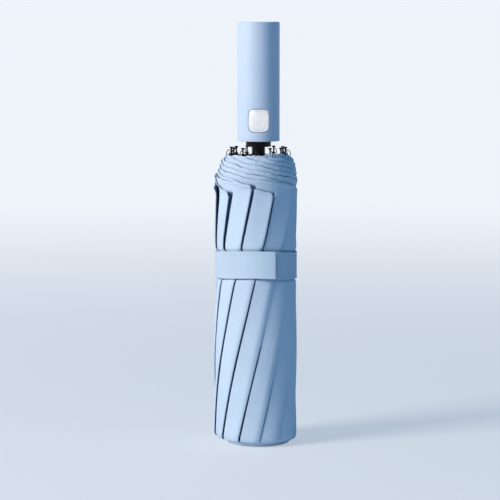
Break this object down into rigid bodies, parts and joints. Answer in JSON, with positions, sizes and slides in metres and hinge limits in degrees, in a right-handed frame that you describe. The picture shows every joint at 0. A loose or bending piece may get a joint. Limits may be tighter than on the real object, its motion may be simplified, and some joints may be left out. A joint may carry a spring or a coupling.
{
  "type": "automatic umbrella",
  "caption": "Three-fold automatic umbrella, folded and strapped, with a straight cylindrical grip, push button, telescoping shaft and folding ribs.",
  "frame": {"origin": "centre of the crown cap's underside, on which the closed umbrella stands", "axes": "+Z along the shaft towards the grip; the push button faces -Y; +X to the right seen from the button's side"},
  "size_m": [0.059, 0.0598, 0.3],
  "materials": {
    "light_blue_coating": "satin soft-touch coating",
    "cap_plastic": "smooth moulded plastic",
    "light_blue_cloth": "fine plain-woven coated cloth",
    "black_plastic": "moulded nylon",
    "rib_black": "black coated steel",
    "shaft_black": "black coated steel tube",
    "chrome": "polished",
    "spring_steel": "drawn wire"
  },
  "bodies": {
    "crown_and_shaft": {"outer_tube": "shaft_black", "crown_notch": "black_plastic", "crown_cap": "cap_plastic", "opening_spring": "spring_steel", "canopy": "light_blue_cloth", "strap": "light_blue_cloth"},
    "middle_tube": {"middle_tube": "shaft_black"},
    "handle": {"inner_tube": "shaft_black", "handle_grip": "light_blue_coating", "handle_core": "black_plastic"},
    "push_button": {"push_button": "chrome"},
    "runner": {"runner": "black_plastic"},
    "main_rib_01": {"main_rib_01": "rib_black"},
    "main_rib_02": {"main_rib_02": "rib_black"},
    "main_rib_03": {"main_rib_03": "rib_black"},
    "main_rib_04": {"main_rib_04": "rib_black"},
    "main_rib_05": {"main_rib_05": "rib_black"},
    "main_rib_06": {"main_rib_06": "rib_black"},
    "main_rib_07": {"main_rib_07": "rib_black"},
    "main_rib_08": {"main_rib_08": "rib_black"},
    "main_rib_09": {"main_rib_09": "rib_black"},
    "main_rib_10": {"main_rib_10": "rib_black"},
    "main_rib_11": {"main_rib_11": "rib_black"},
    "main_rib_12": {"main_rib_12": "rib_black"},
    "middle_rib_01": {"middle_rib_01": "rib_black"},
    "middle_rib_02": {"middle_rib_02": "rib_black"},
    "middle_rib_03": {"middle_rib_03": "rib_black"},
    "middle_rib_04": {"middle_rib_04": "rib_black"},
    "middle_rib_05": {"middle_rib_05": "rib_black"},
    "middle_rib_06": {"middle_rib_06": "rib_black"},
    "middle_rib_07": {"middle_rib_07": "rib_black"},
    "middle_rib_08": {"middle_rib_08": "rib_black"},
    "middle_rib_09": {"middle_rib_09": "rib_black"},
    "middle_rib_10": {"middle_rib_10": "rib_black"},
    "middle_rib_11": {"middle_rib_11": "rib_black"},
    "middle_rib_12": {"middle_rib_12": "rib_black"},
    "end_rib_01": {"end_rib_01": "rib_black"},
    "end_rib_02": {"end_rib_02": "rib_black"},
    "end_rib_03": {"end_rib_03": "rib_black"},
    "end_rib_04": {"end_rib_04": "rib_black"},
    "end_rib_05": {"end_rib_05": "rib_black"},
    "end_rib_06": {"end_rib_06": "rib_black"},
    "end_rib_07": {"end_rib_07": "rib_black"},
    "end_rib_08": {"end_rib_08": "rib_black"},
    "end_rib_09": {"end_rib_09": "rib_black"},
    "end_rib_10": {"end_rib_10": "rib_black"},
    "end_rib_11": {"end_rib_11": "rib_black"},
    "end_rib_12": {"end_rib_12": "rib_black"},
    "stretcher_01": {"stretcher_01": "rib_black"},
    "stretcher_02": {"stretcher_02": "rib_black"},
    "stretcher_03": {"stretcher_03": "rib_black"},
    "stretcher_04": {"stretcher_04": "rib_black"},
    "stretcher_05": {"stretcher_05": "rib_black"},
    "stretcher_06": {"stretcher_06": "rib_black"},
    "stretcher_07": {"stretcher_07": "rib_black"},
    "stretcher_08": {"stretcher_08": "rib_black"},
    "stretcher_09": {"stretcher_09": "rib_black"},
    "stretcher_10": {"stretcher_10": "rib_black"},
    "stretcher_11": {"stretcher_11": "rib_black"},
    "stretcher_12": {"stretcher_12": "rib_black"}
  },
  "joints": [
    {"name": "shaft_slide", "type": "slide", "parent": "crown_and_shaft", "child": "middle_tube", "axis": [0, 0, 1], "range_m": [0, 0.155], "deforming": ["opening_spring"]},
    {"name": "handle_slide", "type": "slide", "parent": "middle_tube", "child": "handle", "axis": [0, 0, 1], "range_m": [0, 0.155]},
    {"name": "button_press", "type": "slide", "parent": "handle", "child": "push_button", "axis": [0, 1, 0], "range_m": [0, 0.002], "stiffness_N_per_m": 400, "springref_m": -0.002},
    {"name": "runner_slide", "type": "slide", "parent": "crown_and_shaft", "child": "runner", "axis": [0, 0, -1], "range_m": [0, 0.12247], "deforming": ["canopy", "strap"]},
    {"name": "main_hinge_01", "type": "hinge", "parent": "crown_and_shaft", "child": "main_rib_01", "pos_m": [0.00906, 0.00423, 0.0121], "axis": [-0.4226, 0.9063, 0], "range_deg": [0, 77.21]},
    {"name": "main_hinge_02", "type": "hinge", "parent": "crown_and_shaft", "child": "main_rib_02", "pos_m": [0.00574, 0.00819, 0.0121], "axis": [-0.8192, 0.5736, 0], "range_deg": [0, 77.21]},
    {"name": "main_hinge_03", "type": "hinge", "parent": "crown_and_shaft", "child": "main_rib_03", "pos_m": [0.00087, 0.00996, 0.0121], "axis": [-0.9962, 0.0872, 0], "range_deg": [0, 77.21]},
    {"name": "main_hinge_04", "type": "hinge", "parent": "crown_and_shaft", "child": "main_rib_04", "pos_m": [-0.00423, 0.00906, 0.0121], "axis": [-0.9063, -0.4226, 0], "range_deg": [0, 77.21]},
    {"name": "main_hinge_05", "type": "hinge", "parent": "crown_and_shaft", "child": "main_rib_05", "pos_m": [-0.00819, 0.00574, 0.0121], "axis": [-0.5736, -0.8192, 0], "range_deg": [0, 77.21]},
    {"name": "main_hinge_06", "type": "hinge", "parent": "crown_and_shaft", "child": "main_rib_06", "pos_m": [-0.00996, 0.00087, 0.0121], "axis": [-0.0872, -0.9962, 0], "range_deg": [0, 77.21]},
    {"name": "main_hinge_07", "type": "hinge", "parent": "crown_and_shaft", "child": "main_rib_07", "pos_m": [-0.00906, -0.00423, 0.0121], "axis": [0.4226, -0.9063, 0], "range_deg": [0, 77.21]},
    {"name": "main_hinge_08", "type": "hinge", "parent": "crown_and_shaft", "child": "main_rib_08", "pos_m": [-0.00574, -0.00819, 0.0121], "axis": [0.8192, -0.5736, 0], "range_deg": [0, 77.21]},
    {"name": "main_hinge_09", "type": "hinge", "parent": "crown_and_shaft", "child": "main_rib_09", "pos_m": [-0.00087, -0.00996, 0.0121], "axis": [0.9962, -0.0872, 0], "range_deg": [0, 77.21]},
    {"name": "main_hinge_10", "type": "hinge", "parent": "crown_and_shaft", "child": "main_rib_10", "pos_m": [0.00423, -0.00906, 0.0121], "axis": [0.9063, 0.4226, 0], "range_deg": [0, 77.21]},
    {"name": "main_hinge_11", "type": "hinge", "parent": "crown_and_shaft", "child": "main_rib_11", "pos_m": [0.00819, -0.00574, 0.0121], "axis": [0.5736, 0.8192, 0], "range_deg": [0, 77.21]},
    {"name": "main_hinge_12", "type": "hinge", "parent": "crown_and_shaft", "child": "main_rib_12", "pos_m": [0.00996, -0.00087, 0.0121], "axis": [0.0872, 0.9962, 0], "range_deg": [0, 77.21]},
    {"name": "middle_hinge_01", "type": "hinge", "parent": "main_rib_01", "child": "middle_rib_01", "pos_m": [0.01142, 0.00532, 0.2], "axis": [0.4226, -0.9063, 0], "range_deg": [0, 191.1]},
    {"name": "middle_hinge_02", "type": "hinge", "parent": "main_rib_02", "child": "middle_rib_02", "pos_m": [0.00723, 0.01032, 0.2], "axis": [0.8192, -0.5736, 0], "range_deg": [0, 191.1]},
    {"name": "middle_hinge_03", "type": "hinge", "parent": "main_rib_03", "child": "middle_rib_03", "pos_m": [0.0011, 0.01255, 0.2], "axis": [0.9962, -0.0872, 0], "range_deg": [0, 191.1]},
    {"name": "middle_hinge_04", "type": "hinge", "parent": "main_rib_04", "child": "middle_rib_04", "pos_m": [-0.00532, 0.01142, 0.2], "axis": [0.9063, 0.4226, 0], "range_deg": [0, 191.1]},
    {"name": "middle_hinge_05", "type": "hinge", "parent": "main_rib_05", "child": "middle_rib_05", "pos_m": [-0.01032, 0.00723, 0.2], "axis": [0.5736, 0.8192, 0], "range_deg": [0, 191.1]},
    {"name": "middle_hinge_06", "type": "hinge", "parent": "main_rib_06", "child": "middle_rib_06", "pos_m": [-0.01255, 0.0011, 0.2], "axis": [0.0872, 0.9962, 0], "range_deg": [0, 191.1]},
    {"name": "middle_hinge_07", "type": "hinge", "parent": "main_rib_07", "child": "middle_rib_07", "pos_m": [-0.01142, -0.00532, 0.2], "axis": [-0.4226, 0.9063, 0], "range_deg": [0, 191.1]},
    {"name": "middle_hinge_08", "type": "hinge", "parent": "main_rib_08", "child": "middle_rib_08", "pos_m": [-0.00723, -0.01032, 0.2], "axis": [-0.8192, 0.5736, 0], "range_deg": [0, 191.1]},
    {"name": "middle_hinge_09", "type": "hinge", "parent": "main_rib_09", "child": "middle_rib_09", "pos_m": [-0.0011, -0.01255, 0.2], "axis": [-0.9962, 0.0872, 0], "range_deg": [0, 191.1]},
    {"name": "middle_hinge_10", "type": "hinge", "parent": "main_rib_10", "child": "middle_rib_10", "pos_m": [0.00532, -0.01142, 0.2], "axis": [-0.9063, -0.4226, 0], "range_deg": [0, 191.1]},
    {"name": "middle_hinge_11", "type": "hinge", "parent": "main_rib_11", "child": "middle_rib_11", "pos_m": [0.01032, -0.00723, 0.2], "axis": [-0.5736, -0.8192, 0], "range_deg": [0, 191.1]},
    {"name": "middle_hinge_12", "type": "hinge", "parent": "main_rib_12", "child": "middle_rib_12", "pos_m": [0.01255, -0.0011, 0.2], "axis": [-0.0872, -0.9962, 0], "range_deg": [0, 191.1]},
    {"name": "end_hinge_01", "type": "hinge", "parent": "middle_rib_01", "child": "end_rib_01", "pos_m": [0.01468, 0.00685, 0.0141], "axis": [-0.4226, 0.9063, 0], "range_deg": [0, 161.01]},
    {"name": "end_hinge_02", "type": "hinge", "parent": "middle_rib_02", "child": "end_rib_02", "pos_m": [0.00929, 0.01327, 0.0141], "axis": [-0.8192, 0.5736, 0], "range_deg": [0, 161.01]},
    {"name": "end_hinge_03", "type": "hinge", "parent": "middle_rib_03", "child": "end_rib_03", "pos_m": [0.00141, 0.01614, 0.0141], "axis": [-0.9962, 0.0872, 0], "range_deg": [0, 161.01]},
    {"name": "end_hinge_04", "type": "hinge", "parent": "middle_rib_04", "child": "end_rib_04", "pos_m": [-0.00685, 0.01468, 0.0141], "axis": [-0.9063, -0.4226, 0], "range_deg": [0, 161.01]},
    {"name": "end_hinge_05", "type": "hinge", "parent": "middle_rib_05", "child": "end_rib_05", "pos_m": [-0.01327, 0.00929, 0.0141], "axis": [-0.5736, -0.8192, 0], "range_deg": [0, 161.01]},
    {"name": "end_hinge_06", "type": "hinge", "parent": "middle_rib_06", "child": "end_rib_06", "pos_m": [-0.01614, 0.00141, 0.0141], "axis": [-0.0872, -0.9962, 0], "range_deg": [0, 161.01]},
    {"name": "end_hinge_07", "type": "hinge", "parent": "middle_rib_07", "child": "end_rib_07", "pos_m": [-0.01468, -0.00685, 0.0141], "axis": [0.4226, -0.9063, 0], "range_deg": [0, 161.01]},
    {"name": "end_hinge_08", "type": "hinge", "parent": "middle_rib_08", "child": "end_rib_08", "pos_m": [-0.00929, -0.01327, 0.0141], "axis": [0.8192, -0.5736, 0], "range_deg": [0, 161.01]},
    {"name": "end_hinge_09", "type": "hinge", "parent": "middle_rib_09", "child": "end_rib_09", "pos_m": [-0.00141, -0.01614, 0.0141], "axis": [0.9962, -0.0872, 0], "range_deg": [0, 161.01]},
    {"name": "end_hinge_10", "type": "hinge", "parent": "middle_rib_10", "child": "end_rib_10", "pos_m": [0.00685, -0.01468, 0.0141], "axis": [0.9063, 0.4226, 0], "range_deg": [0, 161.01]},
    {"name": "end_hinge_11", "type": "hinge", "parent": "middle_rib_11", "child": "end_rib_11", "pos_m": [0.01327, -0.00929, 0.0141], "axis": [0.5736, 0.8192, 0], "range_deg": [0, 161.01]},
    {"name": "end_hinge_12", "type": "hinge", "parent": "middle_rib_12", "child": "end_rib_12", "pos_m": [0.01614, -0.00141, 0.0141], "axis": [0.0872, 0.9962, 0], "range_deg": [0, 161.01]},
    {"name": "stretcher_hinge_01", "type": "hinge", "parent": "runner", "child": "stretcher_01", "pos_m": [0.00743, 0.00347, 0.19], "axis": [0.4226, -0.9063, 0], "range_deg": [0, 64.2]},
    {"name": "stretcher_hinge_02", "type": "hinge", "parent": "runner", "child": "stretcher_02", "pos_m": [0.0047, 0.00672, 0.19], "axis": [0.8192, -0.5736, 0], "range_deg": [0, 64.2]},
    {"name": "stretcher_hinge_03", "type": "hinge", "parent": "runner", "child": "stretcher_03", "pos_m": [0.00072, 0.00817, 0.19], "axis": [0.9962, -0.0872, 0], "range_deg": [0, 64.2]},
    {"name": "stretcher_hinge_04", "type": "hinge", "parent": "runner", "child": "stretcher_04", "pos_m": [-0.00347, 0.00743, 0.19], "axis": [0.9063, 0.4226, 0], "range_deg": [0, 64.2]},
    {"name": "stretcher_hinge_05", "type": "hinge", "parent": "runner", "child": "stretcher_05", "pos_m": [-0.00672, 0.0047, 0.19], "axis": [0.5736, 0.8192, 0], "range_deg": [0, 64.2]},
    {"name": "stretcher_hinge_06", "type": "hinge", "parent": "runner", "child": "stretcher_06", "pos_m": [-0.00817, 0.00072, 0.19], "axis": [0.0872, 0.9962, 0], "range_deg": [0, 64.2]},
    {"name": "stretcher_hinge_07", "type": "hinge", "parent": "runner", "child": "stretcher_07", "pos_m": [-0.00743, -0.00347, 0.19], "axis": [-0.4226, 0.9063, 0], "range_deg": [0, 64.2]},
    {"name": "stretcher_hinge_08", "type": "hinge", "parent": "runner", "child": "stretcher_08", "pos_m": [-0.0047, -0.00672, 0.19], "axis": [-0.8192, 0.5736, 0], "range_deg": [0, 64.2]},
    {"name": "stretcher_hinge_09", "type": "hinge", "parent": "runner", "child": "stretcher_09", "pos_m": [-0.00072, -0.00817, 0.19], "axis": [-0.9962, 0.0872, 0], "range_deg": [0, 64.2]},
    {"name": "stretcher_hinge_10", "type": "hinge", "parent": "runner", "child": "stretcher_10", "pos_m": [0.00347, -0.00743, 0.19], "axis": [-0.9063, -0.4226, 0], "range_deg": [0, 64.2]},
    {"name": "stretcher_hinge_11", "type": "hinge", "parent": "runner", "child": "stretcher_11", "pos_m": [0.00672, -0.0047, 0.19], "axis": [-0.5736, -0.8192, 0], "range_deg": [0, 64.2]},
    {"name": "stretcher_hinge_12", "type": "hinge", "parent": "runner", "child": "stretcher_12", "pos_m": [0.00817, -0.00072, 0.19], "axis": [-0.0872, -0.9962, 0], "range_deg": [0, 64.2]}
  ],
  "couplings": [
    {"joint": "handle_slide", "follows": "shaft_slide", "ratio": 1},
    {"joint": "main_hinge_01", "follows": "runner_slide", "rad_per_m": 11.003},
    {"joint": "main_hinge_02", "follows": "runner_slide", "rad_per_m": 11.003},
    {"joint": "main_hinge_03", "follows": "runner_slide", "rad_per_m": 11.003},
    {"joint": "main_hinge_04", "follows": "runner_slide", "rad_per_m": 11.003},
    {"joint": "main_hinge_05", "follows": "runner_slide", "rad_per_m": 11.003},
    {"joint": "main_hinge_06", "follows": "runner_slide", "rad_per_m": 11.003},
    {"joint": "main_hinge_07", "follows": "runner_slide", "rad_per_m": 11.003},
    {"joint": "main_hinge_08", "follows": "runner_slide", "rad_per_m": 11.003},
    {"joint": "main_hinge_09", "follows": "runner_slide", "rad_per_m": 11.003},
    {"joint": "main_hinge_10", "follows": "runner_slide", "rad_per_m": 11.003},
    {"joint": "main_hinge_11", "follows": "runner_slide", "rad_per_m": 11.003},
    {"joint": "main_hinge_12", "follows": "runner_slide", "rad_per_m": 11.003},
    {"joint": "middle_hinge_01", "follows": "runner_slide", "rad_per_m": 27.233},
    {"joint": "middle_hinge_02", "follows": "runner_slide", "rad_per_m": 27.233},
    {"joint": "middle_hinge_03", "follows": "runner_slide", "rad_per_m": 27.233},
    {"joint": "middle_hinge_04", "follows": "runner_slide", "rad_per_m": 27.233},
    {"joint": "middle_hinge_05", "follows": "runner_slide", "rad_per_m": 27.233},
    {"joint": "middle_hinge_06", "follows": "runner_slide", "rad_per_m": 27.233},
    {"joint": "middle_hinge_07", "follows": "runner_slide", "rad_per_m": 27.233},
    {"joint": "middle_hinge_08", "follows": "runner_slide", "rad_per_m": 27.233},
    {"joint": "middle_hinge_09", "follows": "runner_slide", "rad_per_m": 27.233},
    {"joint": "middle_hinge_10", "follows": "runner_slide", "rad_per_m": 27.233},
    {"joint": "middle_hinge_11", "follows": "runner_slide", "rad_per_m": 27.233},
    {"joint": "middle_hinge_12", "follows": "runner_slide", "rad_per_m": 27.233},
    {"joint": "end_hinge_01", "follows": "runner_slide", "rad_per_m": 22.945},
    {"joint": "end_hinge_02", "follows": "runner_slide", "rad_per_m": 22.945},
    {"joint": "end_hinge_03", "follows": "runner_slide", "rad_per_m": 22.945},
    {"joint": "end_hinge_04", "follows": "runner_slide", "rad_per_m": 22.945},
    {"joint": "end_hinge_05", "follows": "runner_slide", "rad_per_m": 22.945},
    {"joint": "end_hinge_06", "follows": "runner_slide", "rad_per_m": 22.945},
    {"joint": "end_hinge_07", "follows": "runner_slide", "rad_per_m": 22.945},
    {"joint": "end_hinge_08", "follows": "runner_slide", "rad_per_m": 22.945},
    {"joint": "end_hinge_09", "follows": "runner_slide", "rad_per_m": 22.945},
    {"joint": "end_hinge_10", "follows": "runner_slide", "rad_per_m": 22.945},
    {"joint": "end_hinge_11", "follows": "runner_slide", "rad_per_m": 22.945},
    {"joint": "end_hinge_12", "follows": "runner_slide", "rad_per_m": 22.945},
    {"joint": "stretcher_hinge_01", "follows": "runner_slide", "rad_per_m": 9.1492},
    {"joint": "stretcher_hinge_02", "follows": "runner_slide", "rad_per_m": 9.1492},
    {"joint": "stretcher_hinge_03", "follows": "runner_slide", "rad_per_m": 9.1492},
    {"joint": "stretcher_hinge_04", "follows": "runner_slide", "rad_per_m": 9.1492},
    {"joint": "stretcher_hinge_05", "follows": "runner_slide", "rad_per_m": 9.1492},
    {"joint": "stretcher_hinge_06", "follows": "runner_slide", "rad_per_m": 9.1492},
    {"joint": "stretcher_hinge_07", "follows": "runner_slide", "rad_per_m": 9.1492},
    {"joint": "stretcher_hinge_08", "follows": "runner_slide", "rad_per_m": 9.1492},
    {"joint": "stretcher_hinge_09", "follows": "runner_slide", "rad_per_m": 9.1492},
    {"joint": "stretcher_hinge_10", "follows": "runner_slide", "rad_per_m": 9.1492},
    {"joint": "stretcher_hinge_11", "follows": "runner_slide", "rad_per_m": 9.1492},
    {"joint": "stretcher_hinge_12", "follows": "runner_slide", "rad_per_m": 9.1492}
  ]
}
